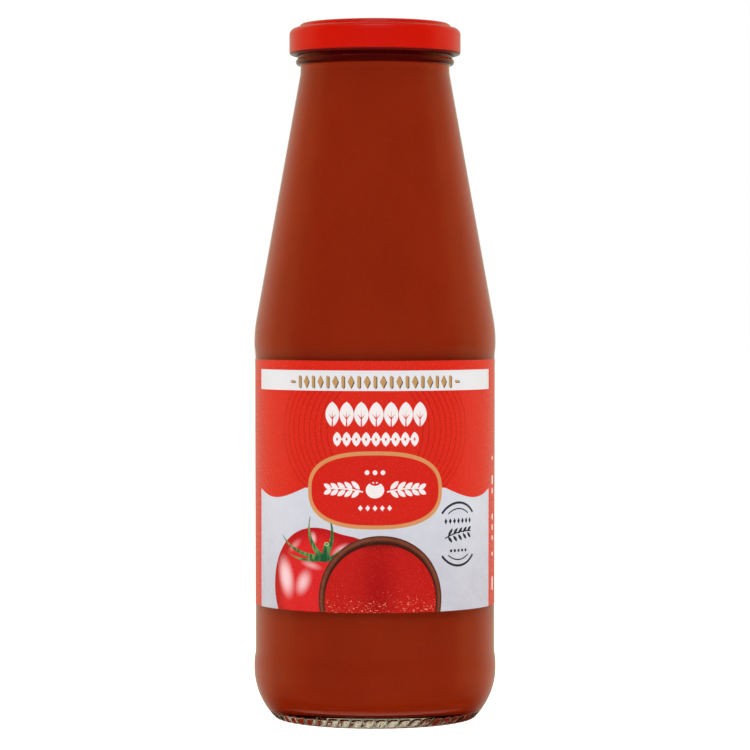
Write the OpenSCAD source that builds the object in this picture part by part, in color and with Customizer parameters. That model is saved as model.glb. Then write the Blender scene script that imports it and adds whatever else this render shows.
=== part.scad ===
// Glass bottle of passata with a twist-off metal lid and a wrap-round paper label.
// It stands on its base ring. Z is the bottle's axis, z = 0 is the ground, and the
// label's front faces -Y.

/* [Bottle body] */
// Height of the glass, from the base ring to the rim
bottle_h = 224.2; // [186:0.1:290]
// Diameter of the straight panel that carries the label
panel_d = 77.7; // [64:0.1:100]
// Height of the straight panel
panel_h = 94; // [60:0.5:110]
// How far the heel stands out past the panel
heel_step = 0.49; // [0.2:0.01:2]
// How far the shoulder stands out past the panel
shoulder_step = 0.35; // [0.2:0.01:2]
// Height of the smooth steps between the panel and its two ends
step_h = 5.2; // [2:0.1:10]
// Wall thickness of the body
wall = 2.5; // [1.5:0.1:4]

/* [Base] */
// Radius of the heel's curve
heel_round = 22.73; // [15:0.01:27.5]
// Angle that the heel's curve turns through, from upright
heel_sweep = 44.5; // [35:0.5:60]
// Radius of the corner between the heel and the base ring
foot_round = 2.12; // [1:0.01:4]
// Height of the upright stretch above the heel's curve
heel_flat = 1.2; // [0.5:0.1:5]
// Width of the flat base ring
ring_w = 2.8; // [1.5:0.1:5]
// Rise of the hollow under the base
punt_depth = 2; // [1:0.1:8]
// Glass thickness at the edge of the inner floor
base_t = 5; // [3:0.1:8]
// Rise of the inner floor towards its middle
floor_rise = 1.5; // [0:0.1:6]
// Round inside, between the wall and the floor
inner_round = 8; // [4:0.5:12]

/* [Base grip] */
// Number of slanted grooves round the base ring's outer corner
groove_count = 56; // [24:1:72]
// Radius of a groove's cutter
groove_r = 1; // [0.5:0.1:1.5]
// Depth of a groove
groove_depth = 0.3; // [0.1:0.05:0.6]
// Length of a groove's cutter
groove_len = 6; // [4:0.5:10]
// Slant of a groove from the upright
groove_slant = 32; // [0:1:45]
// Angle below horizontal of the surface where a groove is deepest
groove_face = 58; // [50:1:70]

/* [Shoulder and neck] */
// Radius of the shoulder's curve
shoulder_round = 44; // [20:1:80]
// Radius of the hollow curve between the long cone and the neck
neck_round = 8; // [4:0.5:20]
// Height of the straight neck below the bead
neck_h = 1.8; // [1:0.1:6]
// How far the neck lies inside the finish
neck_step = 0.95; // [0.8:0.05:2]

/* [Finish] */
// Outside diameter of the finish, the upright wall under the lid
finish_d = 50.2; // [40:0.1:64]
// Wall thickness of the finish
finish_wall = 2.8; // [2:0.1:4]
// Height of the half-round bead below the lid
bead_h = 2.4; // [1.5:0.1:2.8]
// How far the bead stands out past the finish
bead_out = 0.6; // [0.5:0.05:0.75]
// Number of thread ridges
thread_count = 4; // [3:1:6]
// Angle that each thread ridge covers
thread_sweep = 64; // [30:1:70]
// How far a thread ridge stands out
thread_out = 1; // [0.6:0.1:1.5]
// Height of a thread ridge at its root
thread_h = 2; // [1:0.1:3]
// Distance from the rim down to the middle of the thread ridges
thread_drop = 4.6; // [4:0.1:5.5]
// Slope of a thread ridge
thread_slope = 3; // [0:0.5:4]

/* [Lid] */
// Thickness of the lid's lacquered steel
sheet_t = 0.3; // [0.2:0.05:0.6]
// Room between the thread ridges and the skirt
skirt_gap = 1.4; // [1:0.1:3]
// Distance from the rim down to the lid's lowest point
lid_drop = 8.8; // [8:0.1:11]
// Room between the lid's lowest point and the bead
bead_gap = 1; // [0.5:0.1:2]
// Thickness of the rolled curl at the skirt's lower edge
curl_d = 2.1; // [1:0.1:2.5]
// Number of lugs pressed inwards from the curl
lug_count = 4; // [3:1:6]
// Angle that each lug covers
lug_sweep = 16; // [8:1:30]
// Height of a lug
lug_h = 1; // [0.6:0.1:1.5]
// Radius of the lid's shoulder
lid_round = 2.2; // [1:0.1:3]
// Slope of the flat part of the lid's shoulder
lid_slope = 15; // [10:1:20]
// Radius of the raised ring's outer edge
crown_round = 1.7; // [1:0.1:2.2]
// Width of the flat top of the raised ring
crown_flat = 1.1; // [0.5:0.1:3]
// Diameter of the safety button
button_d = 17; // [10:1:24]
// Height of the safety button
button_h = 0.35; // [0.1:0.05:0.6]
// Thickness of the soft seal over the rim's crest
seal_t = 1.2; // [0.8:0.1:2]

/* [Label] */
// Distance from the panel's upper end down to the label
label_top_gap = 0.1; // [0:0.1:10]
// Distance from the panel's lower end up to the label
label_low_gap = 14.5; // [0:0.1:30]
// Thickness of the paper
label_t = 0.12; // [0.08:0.01:0.3]
// Width of the overlap at the label's back, along the paper
label_lap = 8; // [4:0.5:15]

/* [Filling] */
// Room left above the passata, from the rim down
headspace = 6; // [4:0.5:8]

/* [Hidden] */
$fn = 96;
// Steps of a curved stretch of an outline, and of a short one
arc_steps = 12;
short_steps = 6;
// Outline points closer than this count as one
same_point = 0.001;
// Clearance between pieces that rest on each other
seat_gap = 0.05;
// Clearance between the label and the glass that it is stuck to
glue_gap = 0.02;
// Clearance between a lug's tip and the finish
lug_gap = 0.35;
// How deep a thread ridge's sides run on inside the finish
thread_root = 1;
// Height of a thread ridge at its crest
thread_crest = 0.9;
// How far inside the rim's crest the raised ring's outer edge is centred
crown_inset = 0.64;
// Angles above horizontal where the raised ring's outer edge starts and its inner ends
crown_start = 24;
crown_end = 160;
// Radii of the hollow corners at the raised ring's outer and inner foot
crown_foot = 0.4;
panel_foot = 0.6;
// Radius of the raised ring's inner edge
crown_inner_round = 0.8;
// Width of the button's sloping edge
button_edge = 2.5;
// Radius of the small flats at the axis, under the base and on the inner floor
centre_r = 1;
// Angle at which the seal stops, past the rim's crest
seal_end = 120;

panel_r = panel_d / 2;
heel_r = panel_r + heel_step;
shoulder_r = panel_r + shoulder_step;
finish_r = finish_d / 2;
neck_r = finish_r - neck_step;
bead_r = finish_r + bead_out;
bead_round = bead_h / 2;
thread_r = finish_r + thread_out;

// Heights from the ground up to the neck
heel_z = heel_round * sin(heel_sweep) + foot_round * (1 - sin(heel_sweep));
heel_top = heel_z + heel_flat;
panel_z = heel_top + step_h;
panel_top = panel_z + panel_h;
shoulder_z = panel_top + step_h;
bead_z = bottle_h - lid_drop - bead_gap - bead_round;
neck_z = bead_z - bead_round - neck_h;

// Centres of the heel's and the foot's curves
heel_c = [heel_r - heel_round, heel_z];
foot_c = heel_c + (heel_round - foot_round) * [cos(heel_sweep), -sin(heel_sweep)];
ring_in = foot_c.x - ring_w;

// The long cone is the line that touches the shoulder's and the neck's curves
shoulder_c = [shoulder_r - shoulder_round, shoulder_z];
neck_c = [neck_r + neck_round, neck_z];
cone_span = neck_c - shoulder_c;
cone_angle = atan2(cone_span.y, cone_span.x)
    - acos((shoulder_round + neck_round) / norm(cone_span));

// The bead is half round: a hollow curve leads into it, and the finish cuts it off
bead_c = [bead_r - bead_round, bead_z];
bead_foot = bead_c.x - neck_r;
bead_foot_c = [bead_c.x, bead_z - bead_round - bead_foot];
bead_end = acos((finish_r - bead_c.x) / bead_round);

// The rim is fully round
rim_round = finish_wall / 2;
rim_c = [finish_r - rim_round, bottle_h - rim_round];
mouth_r = finish_r - finish_wall;

// The inside of the heel reaches from the wall down to the inner floor
inner_heel_round = min(inner_round, heel_top - base_t);
inner_heel_c = [heel_r - wall - inner_heel_round, base_t + inner_heel_round];
floor_z = base_t + floor_rise;

// The lid's raised ring holds the seal over the rim
lid_r = thread_r + skirt_gap + sheet_t;
lid_top = bottle_h + seal_t + sheet_t;
crown_c = [rim_c.x - crown_inset, lid_top - crown_round];
crown_foot_c = crown_c
    + (crown_round + crown_foot) * [cos(crown_start), sin(crown_start)];
crown_inner_c = [crown_c.x - crown_flat, lid_top - crown_inner_round];

// The lid's shoulder slopes down from the raised ring to the skirt
lid_face = 90 - lid_slope;
lid_corner_x = lid_r - lid_round;
lid_corner_drop = (lid_round + crown_foot - (crown_foot_c.x - lid_corner_x) * cos(lid_face))
    / sin(lid_face);
lid_corner_c = [lid_corner_x, crown_foot_c.y - lid_corner_drop];
curl_c = [lid_r - curl_d / 2, bottle_h - lid_drop + curl_d / 2];

// The sunk panel inside the raised ring, and its button
panel_foot_c = crown_inner_c
    + (crown_inner_round + panel_foot) * [cos(crown_end), sin(crown_end)];
lid_panel_z = panel_foot_c.y - panel_foot;
button_r = button_d / 2;
button_top = lid_panel_z + button_h;

// An outline is a list of [r, z, a], where a is the way that its surface faces, and
// the solid lies to the left of the way that the list runs.

// A round stretch about c. A hollow one has a negative radius.
function arc(c, r, a0, a1, steps = arc_steps) =
    [for (i = [0 : steps]) let (a = a0 + (a1 - a0) * i / steps)
        [c.x + r * cos(a), c.y + r * sin(a), a]];

// A smooth step from p to q, which starts and ends along z
function step_up(p, q) =
    [for (i = [0 : arc_steps])
        let (t = i / arc_steps, s = (1 - cos(180 * t)) / 2, slope = 90 * sin(180 * t) * PI / 180)
        [p.x + (q.x - p.x) * s, p.y + (q.y - p.y) * t,
         atan2((p.x - q.x) * slope, q.y - p.y)]];

// A smooth step from p to q, which starts and ends along r
function step_in(p, q) =
    [for (i = [0 : arc_steps])
        let (t = i / arc_steps, s = (1 - cos(180 * t)) / 2, slope = 90 * sin(180 * t) * PI / 180)
        [p.x + (q.x - p.x) * t, p.y + (q.y - p.y) * s,
         atan2(p.x - q.x, (q.y - p.y) * slope)]];

// The outline's points, moved by d along the way that they face
function points(path, d = 0) =
    [for (p = path) [p[0] + d * cos(p[2]), p[1] + d * sin(p[2])]];
function backwards(list) = [for (i = [len(list) - 1 : -1 : 0]) list[i]];
function distinct(list) =
    [for (i = [0 : len(list) - 1])
        if (i == 0 || norm(list[i] - list[max(i - 1, 0)]) > same_point) list[i]];

// The heel, from the base ring to its upright stretch
function heel_path() = concat(
    arc(foot_c, foot_round, -90, -heel_sweep, short_steps),
    arc(heel_c, heel_round, -heel_sweep, 0));

// The body's surface from the heel's upright stretch to the neck
function body_path() = concat(
    step_up([heel_r, heel_top], [panel_r, panel_z]),
    step_up([panel_r, panel_top], [shoulder_r, shoulder_z]),
    arc(shoulder_c, shoulder_round, 0, cone_angle),
    arc(neck_c, -neck_round, cone_angle, 0));

function bead_path() = concat(
    arc(bead_foot_c, -bead_foot, 0, -90, short_steps),
    arc(bead_c, bead_round, -90, bead_end));

function rim_path() = arc(rim_c, rim_round, 0, 180, 2 * arc_steps);
// The hollow under the base, which ends in a small flat at the axis
function punt_path() = concat(
    step_in([ring_in, 0], [centre_r, punt_depth]),
    [[0, punt_depth, 90]]);

// The inside of the glass, moved inwards by d, from the middle of its floor to the mouth
function inside_points(d = 0) = concat(
    [[0, floor_z + d]],
    backwards(points(step_in(
        inner_heel_c - [0, inner_heel_round], [centre_r, floor_z]), d)),
    points(arc(inner_heel_c, inner_heel_round, -90, 0), -d),
    points(body_path(), -wall - d),
    points(step_up([neck_r - wall, neck_z], [mouth_r, bead_z]), -d));

// The lid's outer surface, from the curl to the middle of the top
function lid_path() = concat(
    [[lid_r, curl_c.y, 0]],
    arc(lid_corner_c, lid_round, 0, lid_face),
    arc(crown_foot_c, -crown_foot, lid_face, crown_start, short_steps),
    arc(crown_c, crown_round, crown_start, 90, short_steps),
    arc(crown_inner_c, crown_inner_round, 90, crown_end, short_steps),
    arc(panel_foot_c, -panel_foot, crown_end, 90, short_steps),
    step_in([button_r + button_edge, lid_panel_z], [button_r, button_top]),
    [[0, button_top, 90]]);

// A solid of revolution
module turned(outline) {
    rotate_extrude()
        polygon(distinct(outline));
}

// A slanted cutter across the outer corner of the base ring
module grip_cutter() {
    middle = foot_c
        + (foot_round + groove_r - groove_depth) * [cos(groove_face), -sin(groove_face)];
    translate([middle.x, 0, middle.y])
        rotate([0, 90 + groove_face, 0])
        rotate([0, 0, groove_slant])
        rotate([0, 90, 0])
        cylinder(h = groove_len, r = groove_r, center = true);
}

// One ridge of the thread, tilted about the radius through its middle
module thread_ridge() {
    crest = thread_crest / 2;
    root = crest + (thread_h - thread_crest) / 2 * (thread_out + thread_root) / thread_out;
    rotate([thread_slope, 0, 0])
        rotate([0, 0, -thread_sweep / 2])
        rotate_extrude(angle = thread_sweep)
        polygon([
            [finish_r - thread_root, -root],
            [thread_r, -crest],
            [thread_r, crest],
            [finish_r - thread_root, root]]);
}

module bottle() {
    color([0.82, 0.86, 0.8, 0.35]) {
        difference() {
            turned(concat(
                points(heel_path()),
                points(body_path()),
                points(bead_path()),
                points(rim_path()),
                backwards(inside_points()),
                backwards(points(punt_path()))));
            for (i = [0 : groove_count - 1])
                rotate([0, 0, i * 360 / groove_count])
                grip_cutter();
        }
        for (i = [0 : thread_count - 1])
            rotate([0, 0, i * 360 / thread_count])
            translate([0, 0, bottle_h - thread_drop])
            thread_ridge();
    }
}

// The filling, inside the glass up to its level in the neck
module passata() {
    level = bottle_h - headspace;
    inside = inside_points(seat_gap);
    color([0.54, 0.14, 0.04])
        turned(concat(
            inside,
            [[inside[len(inside) - 1].x, level], [0, level]]));
}

// The paper, round the whole panel, with its overlap at the back
module label() {
    paper_r = panel_r + glue_gap;
    label_h = panel_h - label_top_gap - label_low_gap;
    lap_sweep = label_lap / (paper_r + label_t) * 180 / PI;
    color([0.87, 0.18, 0.1])
        translate([0, 0, panel_z + label_low_gap]) {
            rotate_extrude()
                translate([paper_r, 0])
                square([label_t, label_h]);
            rotate([0, 0, 90 - lap_sweep / 2])
                rotate_extrude(angle = lap_sweep)
                translate([paper_r + label_t / 2, 0])
                square([label_t * 3 / 2, label_h]);
        }
}

// The soft ring in the lid's channel, which the rim presses into
module lid_seal() {
    roof = points(arc(crown_c, crown_round, crown_start, 90, short_steps),
        -sheet_t - seat_gap);
    crest_round = rim_round + seat_gap;
    crest_start = acos((roof[0].x - rim_c.x) / crest_round);
    crest = points(arc(rim_c, crest_round, crest_start, seal_end, short_steps));
    inner_r = crown_inner_c.x;
    color([0.93, 0.9, 0.84])
        turned(concat(
            roof,
            [[inner_r, roof[short_steps].y], [inner_r, crest[short_steps].y]],
            backwards(crest)));
}

// A lug pressed inwards from the curl, which grips under a thread ridge
module lug() {
    tip_r = finish_r + lug_gap;
    rotate([0, 0, -lug_sweep / 2])
        rotate_extrude(angle = lug_sweep)
        translate([tip_r, curl_c.y - lug_h / 2])
        square([curl_c.x - tip_r, lug_h]);
}

module lid() {
    color([0.78, 0.08, 0.02]) {
        turned(concat(
            points(lid_path()),
            backwards(points(lid_path(), -sheet_t))));
        rotate_extrude()
            translate(curl_c)
            circle(d = curl_d);
        for (i = [0 : lug_count - 1])
            rotate([0, 0, i * 360 / lug_count + thread_sweep / 2])
            lug();
    }
}

bottle();
passata();
label();
lid_seal();
lid();
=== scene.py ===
"""The looks of a glass bottle of passata: its glass, filling, printed label and lacquered lid.

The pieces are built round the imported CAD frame, in its place and size. Lengths are in
millimetres up to the last step of each mesh, and angles in degrees. The bottle's axis is
+Z, the label's front faces -Y, and a turn of 0 is the front, rising towards +X.
"""

import math
import random

import bpy
import numpy as np
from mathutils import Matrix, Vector
from mathutils.geometry import delaunay_2d_cdt


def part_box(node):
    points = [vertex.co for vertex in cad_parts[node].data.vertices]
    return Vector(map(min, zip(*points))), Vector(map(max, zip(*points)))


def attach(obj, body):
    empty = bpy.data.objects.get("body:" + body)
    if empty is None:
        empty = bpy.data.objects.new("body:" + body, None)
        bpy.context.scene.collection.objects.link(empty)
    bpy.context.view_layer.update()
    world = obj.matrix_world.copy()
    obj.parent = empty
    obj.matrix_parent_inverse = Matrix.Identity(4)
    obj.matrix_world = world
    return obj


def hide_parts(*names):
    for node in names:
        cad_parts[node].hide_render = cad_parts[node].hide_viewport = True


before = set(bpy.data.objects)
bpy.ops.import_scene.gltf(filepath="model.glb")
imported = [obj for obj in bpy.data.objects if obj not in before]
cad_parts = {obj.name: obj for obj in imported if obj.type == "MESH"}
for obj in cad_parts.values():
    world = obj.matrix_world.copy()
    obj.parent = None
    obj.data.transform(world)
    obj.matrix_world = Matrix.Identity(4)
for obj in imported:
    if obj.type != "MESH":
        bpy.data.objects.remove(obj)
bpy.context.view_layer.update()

MM = 0.001


def node_box(node):
    """The lowest and highest corner of a CAD node, in millimetres."""
    low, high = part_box(node)
    return low / MM, high / MM


glass_high = node_box("bottle")[1]
filling_high = node_box("passata")[1]
label_low, label_high = node_box("label")
lid_low, lid_high = node_box("lid")

# ---------------------------------------------------------------- sizes of the glass
BOTTLE_H = glass_high.z
PANEL_R = 38.85
PANEL_H = 94
HEEL_STEP = 0.49
SHOULDER_STEP = 0.35
STEP_H = 5.2
WALL = 2.5
HEEL_ROUND = 22.73
HEEL_SWEEP = 44.5
FOOT_ROUND = 2.12
HEEL_FLAT = 1.2
RING_W = 2.8
PUNT_DEPTH = 2
BASE_T = 5
FLOOR_RISE = 1.5
INNER_ROUND = 8
SHOULDER_ROUND = 44
NECK_ROUND = 8
NECK_H = 1.8
FINISH_R = 25.1
NECK_R = 24.15
FINISH_WALL = 2.8
BEAD_H = 2.4
BEAD_R = 25.7
BEAD_GAP = 1
CENTRE_R = 1
SAME_POINT = 0.001

# Ridges that grip the ground, between slanted grooves round the foot
RIDGES = 56
RIDGE_DEPTH = 0.4
RIDGE_SLANT = 32
RIDGE_LOW = 0.5
RIDGE_TOP = 3.1
RIDGE_FADE = 0.6
RIDGE_END = 34
SIDES_PER_RIDGE = 8

# Seams that the two halves of the mould leave
SEAM_TURNS = (90, 270)
SEAM_W = 0.5
SEAM_H = 0.05

# Thread
THREADS = 4
THREAD_OUT = 1
THREAD_SWEEP = 64
THREAD_DROP = 4.6
THREAD_SLOPE = 3
THREAD_H = 1.6

# ---------------------------------------------------------------- sizes of the lid
LID_R = lid_high.x
LID_TOP = lid_high.z
SHEET_T = 0.3
CURL_D = 2.1
LID_ROUND = 2.2
LID_SLOPE = 15
CROWN_ROUND = 1.7
CROWN_FLAT = 1.1
CROWN_INSET = 0.64
CROWN_START = 24
CROWN_END = 160
CROWN_FOOT = 0.4
PANEL_FOOT = 0.6
CROWN_INNER_ROUND = 0.8
BUTTON_R = 8.5
BUTTON_H = 0.35
BUTTON_EDGE = 2.5
LUGS = 4
LUG_SWEEP = 16
LUG_REACH = 0.25

# ---------------------------------------------------------------- sizes of the rest
# How far the filling reaches into the glass, so that no air gap shows
FILLING_REACH = 0.08
LABEL_R = 38.87
LABEL_T = 0.12
LABEL_LAP = 8
LABEL_RAMP = 2
LABEL_COLUMN = 2.5


# ================================================================ outlines
# An outline is a list of (r, z, a), where a is the way that its surface faces. The
# solid lies to the left of the way that the list runs.

def cosine(a):
    return math.cos(math.radians(a))


def sine(a):
    return math.sin(math.radians(a))


def arc(c, r, a0, a1, steps):
    """A round stretch about c. A hollow one has a negative radius."""
    turns = [a0 + (a1 - a0) * i / steps for i in range(steps + 1)]
    return [(c[0] + r * cosine(a), c[1] + r * sine(a), a) for a in turns]


def step_up(p, q, steps):
    """A smooth step from p to q, which starts and ends along z."""
    path = []
    for i in range(steps + 1):
        t = i / steps
        slope = math.pi / 2 * math.sin(math.pi * t)
        facing = math.degrees(math.atan2((p[0] - q[0]) * slope, q[1] - p[1]))
        s = (1 - math.cos(math.pi * t)) / 2
        path.append((p[0] + (q[0] - p[0]) * s, p[1] + (q[1] - p[1]) * t, facing))
    return path


def step_in(p, q, steps):
    """A smooth step from p to q, which starts and ends along r."""
    path = []
    for i in range(steps + 1):
        t = i / steps
        slope = math.pi / 2 * math.sin(math.pi * t)
        facing = math.degrees(math.atan2(p[0] - q[0], (q[1] - p[1]) * slope))
        s = (1 - math.cos(math.pi * t)) / 2
        path.append((p[0] + (q[0] - p[0]) * t, p[1] + (q[1] - p[1]) * s, facing))
    return path


def straight(p, q, steps):
    """A straight stretch from p to q, both with the way that they face."""
    return [tuple(a + (b - a) * i / steps for a, b in zip(p, q)) for i in range(steps + 1)]


def moved(path, d):
    """An outline, moved by d along the way that it faces."""
    return [(r + d * cosine(a), z + d * sine(a), a) for r, z, a in path]


def backwards(path):
    """The same line run the other way, as the far side of a wall, facing away from it."""
    return [(r, z, a + 180) for r, z, a in reversed(path)]


# ---------------------------------------------------------------- the glass
heel_r = PANEL_R + HEEL_STEP
shoulder_r = PANEL_R + SHOULDER_STEP
heel_z = HEEL_ROUND * sine(HEEL_SWEEP) + FOOT_ROUND * (1 - sine(HEEL_SWEEP))
heel_top = heel_z + HEEL_FLAT
panel_z = heel_top + STEP_H
panel_top = panel_z + PANEL_H
shoulder_z = panel_top + STEP_H
bead_round = BEAD_H / 2
bead_z = lid_low.z - BEAD_GAP - bead_round
neck_z = bead_z - bead_round - NECK_H
heel_c = (heel_r - HEEL_ROUND, heel_z)
foot_c = (
    heel_c[0] + (HEEL_ROUND - FOOT_ROUND) * cosine(HEEL_SWEEP),
    heel_c[1] - (HEEL_ROUND - FOOT_ROUND) * sine(HEEL_SWEEP),
)
ring_in = foot_c[0] - RING_W
shoulder_c = (shoulder_r - SHOULDER_ROUND, shoulder_z)
neck_c = (NECK_R + NECK_ROUND, neck_z)
cone_span = (neck_c[0] - shoulder_c[0], neck_c[1] - shoulder_c[1])
cone_angle = math.degrees(
    math.atan2(cone_span[1], cone_span[0])
    - math.acos((SHOULDER_ROUND + NECK_ROUND) / math.hypot(*cone_span))
)
bead_c = (BEAD_R - bead_round, bead_z)
bead_foot = bead_c[0] - NECK_R
bead_foot_c = (bead_c[0], bead_z - bead_round - bead_foot)
bead_end = math.degrees(math.acos((FINISH_R - bead_c[0]) / bead_round))
rim_round = FINISH_WALL / 2
rim_c = (FINISH_R - rim_round, BOTTLE_H - rim_round)
mouth_r = FINISH_R - FINISH_WALL
inner_heel_c = (heel_r - WALL - INNER_ROUND, BASE_T + INNER_ROUND)
floor_z = BASE_T + FLOOR_RISE


def heel_path():
    return (
        arc(foot_c, FOOT_ROUND, -90, -HEEL_SWEEP, 12)
        + arc(heel_c, HEEL_ROUND, -HEEL_SWEEP, -RIDGE_END, 14)
        + arc(heel_c, HEEL_ROUND, -RIDGE_END, 0, 16)
    )


def body_path():
    """From the heel's upright stretch to the neck."""
    return (
        step_up((heel_r, heel_top), (PANEL_R, panel_z), 8)
        + step_up((PANEL_R, panel_top), (shoulder_r, shoulder_z), 8)
        + arc(shoulder_c, SHOULDER_ROUND, 0, cone_angle, 10)
        + arc(neck_c, -NECK_ROUND, cone_angle, 0, 6)
    )


def finish_path():
    """The bead, the upright wall with the thread and the round rim."""
    bead = (
        arc(bead_foot_c, -bead_foot, 0, -90, 5)
        + arc(bead_c, bead_round, -90, bead_end, 10)
    )
    top = arc(rim_c, rim_round, 0, 180, 14)
    return bead + straight((FINISH_R, bead[-1][1] + 0.05, 0), top[0], 18) + top


def inside_path():
    """The inside of the glass, from the middle of its floor up to the mouth, facing out."""
    floor = step_in((inner_heel_c[0], BASE_T), (CENTRE_R, floor_z), 8)
    return (
        [(0, floor_z, -90)]
        + backwards(floor)
        + arc(inner_heel_c, INNER_ROUND, -90, 0, 14)
        + moved(body_path(), -WALL)
        + step_up((NECK_R - WALL, neck_z), (mouth_r, bead_z), 6)
    )


def punt_path():
    """The hollow under the base, from the axis out to the base ring."""
    slope = step_in((ring_in, 0), (CENTRE_R, PUNT_DEPTH), 10)
    return [(0, PUNT_DEPTH, -90)] + backwards(slope)


def glass_path():
    outside = heel_path() + body_path() + finish_path()
    return punt_path() + outside + backwards(inside_path())


def window(x, low, high, edge):
    """1 between low and high, easing to 0 over edge on both sides."""
    rise = np.clip((x - low) / edge + 1, 0, 1)
    fall = np.clip((high - x) / edge + 1, 0, 1)
    return rise * rise * (3 - 2 * rise) * fall * fall * (3 - 2 * fall)


def glass_relief(r, z, a, turn):
    """How far the glass stands in from its outline: grooves, less seams and thread."""
    outer = np.cos(np.radians(a)) > -0.01
    along = turn * RIDGES / 360 - z * math.tan(math.radians(RIDGE_SLANT)) * RIDGES / (
        2 * math.pi * foot_c[0]
    )
    groove = 0.5 + 0.5 * np.cos(2 * math.pi * along)
    foot = window(z, RIDGE_LOW, RIDGE_TOP - RIDGE_FADE, RIDGE_FADE) * (r > foot_c[0])
    foot = foot * (z < RIDGE_TOP)
    depth = RIDGE_DEPTH * groove * foot * outer
    for seam in SEAM_TURNS:
        off = np.radians(turn - seam) * r
        body = window(z, RIDGE_TOP + 1, bead_z - 3, 1) * outer
        room = np.clip(heel_r - r, 0, SEAM_H)
        depth = depth - room * np.exp(-((2 * off / SEAM_W) ** 2)) * body * (r > NECK_R - 1)
    for i in range(THREADS):
        start = i * 360 / THREADS
        off = (turn - start + 180) % 360 - 180
        middle = BOTTLE_H - THREAD_DROP + np.radians(off) * FINISH_R * math.tan(
            math.radians(THREAD_SLOPE)
        )
        ridge = window(z, middle - THREAD_H / 4, middle + THREAD_H / 4, THREAD_H / 2)
        sweep = window(off, -THREAD_SWEEP / 2 + 4, THREAD_SWEEP / 2 - 4, 4)
        on_wall = (np.abs(r - FINISH_R) < 0.01) * outer
        depth = depth - THREAD_OUT * ridge * sweep * on_wall
    return depth


# ---------------------------------------------------------------- the lid
crown_c = (rim_c[0] - CROWN_INSET, LID_TOP - CROWN_ROUND)
crown_foot_c = (
    crown_c[0] + (CROWN_ROUND + CROWN_FOOT) * cosine(CROWN_START),
    crown_c[1] + (CROWN_ROUND + CROWN_FOOT) * sine(CROWN_START),
)
crown_inner_c = (crown_c[0] - CROWN_FLAT, LID_TOP - CROWN_INNER_ROUND)
lid_face = 90 - LID_SLOPE
lid_corner_x = LID_R - LID_ROUND
lid_corner_drop = (
    LID_ROUND + CROWN_FOOT - (crown_foot_c[0] - lid_corner_x) * cosine(lid_face)
) / sine(lid_face)
lid_corner_c = (lid_corner_x, crown_foot_c[1] - lid_corner_drop)
curl_r = CURL_D / 2
curl_c = (LID_R - curl_r, lid_low.z + curl_r)
panel_foot_c = (
    crown_inner_c[0] + (CROWN_INNER_ROUND + PANEL_FOOT) * cosine(CROWN_END),
    crown_inner_c[1] + (CROWN_INNER_ROUND + PANEL_FOOT) * sine(CROWN_END),
)
lid_panel_z = panel_foot_c[1] - PANEL_FOOT


def lid_outside():
    """The lid's outer surface, from the top of the skirt to the middle."""
    return (
        arc(lid_corner_c, LID_ROUND, 0, lid_face, 14)
        + arc(crown_foot_c, -CROWN_FOOT, lid_face, CROWN_START, 8)
        + arc(crown_c, CROWN_ROUND, CROWN_START, 90, 12)
        + arc(crown_inner_c, CROWN_INNER_ROUND, 90, CROWN_END, 8)
        + arc(panel_foot_c, -PANEL_FOOT, CROWN_END, 90, 8)
        + step_in(
            (BUTTON_R + BUTTON_EDGE, lid_panel_z), (BUTTON_R, lid_panel_z + BUTTON_H), 10
        )
        + [(0, lid_panel_z + BUTTON_H, 90)]
    )


def lid_path():
    """The sheet's underside out to the skirt, round the curl, and over the top."""
    outside = lid_outside()
    underside = backwards(moved(outside, -SHEET_T))
    curl_start = math.degrees(math.acos((curl_r - SHEET_T) / curl_r))
    curl = arc(curl_c, curl_r, curl_start, 360, 30)
    return underside + [(r, z, a % 360) for r, z, a in curl] + outside


def lid_relief(r, z, a, turn):
    """The lugs, pressed inwards from the curl."""
    inward = np.clip(-np.cos(np.radians(a)), 0, 1) * (np.abs(z - curl_c[1]) < curl_r)
    middle = THREAD_SWEEP / 2
    off = (turn - middle + 180 / LUGS) % (360 / LUGS) - 180 / LUGS
    lug = window(off, -LUG_SWEEP / 2 + 3, LUG_SWEEP / 2 - 3, 3)
    return -LUG_REACH * inward * lug * (r < curl_c[0])


# ================================================================ meshes
def add_object(name, mesh, materials):
    piece = bpy.data.objects.new(name, mesh)
    bpy.context.scene.collection.objects.link(piece)
    for material in materials:
        mesh.materials.append(material)
    return piece


def lathe(name, path, turns, material, relief=None):
    """A solid of revolution, from a point on the axis round its outside to the axis."""
    turns = np.asarray(turns, float)
    count = len(turns)
    path = path[:1] + [q for p, q in zip(path, path[1:]) if math.dist(p[:2], q[:2]) > SAME_POINT]
    r, z, a = (np.array(column)[:, None] for column in zip(*path))
    depth = relief(r, z, a, turns[None, :]) if relief else np.zeros((len(path), count))
    facing = np.radians(a)
    rr = r - depth * np.cos(facing)
    zz = z - depth * np.sin(facing) + 0 * rr
    swing = np.radians(turns)
    grid = np.stack([rr * np.sin(swing), -rr * np.cos(swing), zz], -1) * MM
    inner = grid[1:-1]
    points = np.concatenate([inner.reshape(-1, 3), grid[0, :1], grid[-1, :1]])
    index = np.arange(len(inner) * count).reshape(len(inner), count)
    right = np.roll(index, -1, 1)
    quads = np.stack([index[:-1], right[:-1], right[1:], index[1:]], -1).reshape(-1, 4)
    first, last = len(points) - 2, len(points) - 1
    faces = quads.tolist()
    faces += [[first, int(right[0, j]), int(index[0, j])] for j in range(count)]
    faces += [[last, int(index[-1, j]), int(right[-1, j])] for j in range(count)]
    mesh = bpy.data.meshes.new(name)
    mesh.from_pydata(points.tolist(), [], faces)
    mesh.polygons.foreach_set("use_smooth", [True] * len(faces))
    mesh.validate()
    return add_object(name, mesh, [material])


def even_turns(count):
    return [360 * i / count for i in range(count)]


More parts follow.
